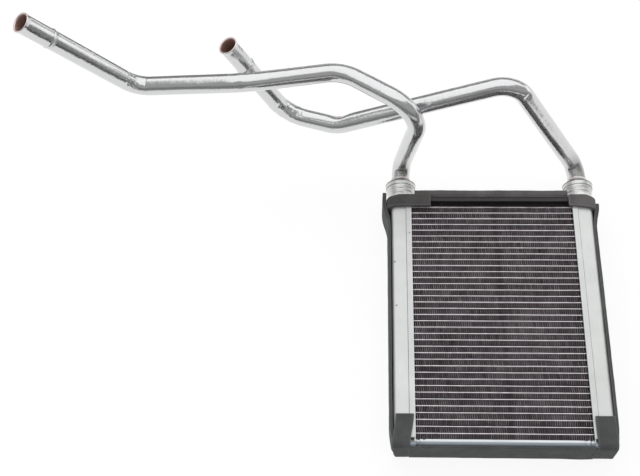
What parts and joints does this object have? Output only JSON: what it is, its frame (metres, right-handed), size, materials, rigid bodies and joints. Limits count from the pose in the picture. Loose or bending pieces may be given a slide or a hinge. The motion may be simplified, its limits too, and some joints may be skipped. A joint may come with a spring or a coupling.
{
  "type": "heater core",
  "caption": "Brazed aluminium heater core of flat tubes and folded fins between two tanks, with two bent hose pipes and foam seals.",
  "frame": {"origin": "under the centre of the core, on the plane that its back foam rests on", "axes": "+X from the left tank to the right one, +Y towards the pipe end, +Z out of the front face"},
  "size_m": [0.4805, 0.3148, 0.2237],
  "materials": {
    "tanks": "satin",
    "plates": "satin",
    "tubes": "dull",
    "fins": "dull and soiled",
    "unions": "turned",
    "pipes": "drawn, bright",
    "foam": "matt closed-cell foam"
  },
  "bodies": {
    "root": {"fins": "fins", "foam_band_left": "foam", "foam_band_right": "foam", "foam_bottom": "foam", "foam_patch_left": "foam", "foam_patch_right": "foam", "foam_strip_left": "foam", "foam_strip_right": "foam", "foam_top": "foam", "inlet_pipe": "pipes", "left_header_plate": "plates", "left_lower_cap": "tanks", "left_tank": "tanks", "left_upper_cap": "tanks", "lower_side_plate": "plates", "outlet_pipe": "pipes", "pipe_unions": "unions", "right_header_plate": "plates", "right_lower_cap": "tanks", "right_tank": "tanks", "right_upper_cap": "tanks", "tube_01": "tubes", "tube_02": "tubes", "tube_03": "tubes", "tube_04": "tubes", "tube_05": "tubes", "tube_06": "tubes", "tube_07": "tubes", "tube_08": "tubes", "tube_09": "tubes", "tube_10": "tubes", "tube_11": "tubes", "tube_12": "tubes", "tube_13": "tubes", "tube_14": "tubes", "tube_15": "tubes", "tube_16": "tubes", "tube_17": "tubes", "tube_18": "tubes", "tube_19": "tubes", "tube_20": "tubes", "tube_21": "tubes", "tube_22": "tubes", "tube_23": "tubes", "tube_24": "tubes", "tube_25": "tubes", "tube_26": "tubes", "tube_27": "tubes", "tube_28": "tubes", "tube_29": "tubes", "tube_30": "tubes", "tube_31": "tubes", "tube_32": "tubes", "tube_33": "tubes", "tube_34": "tubes", "tube_35": "tubes", "tube_36": "tubes", "tube_37": "tubes", "upper_side_plate": "plates"}
  },
  "joints": []
}
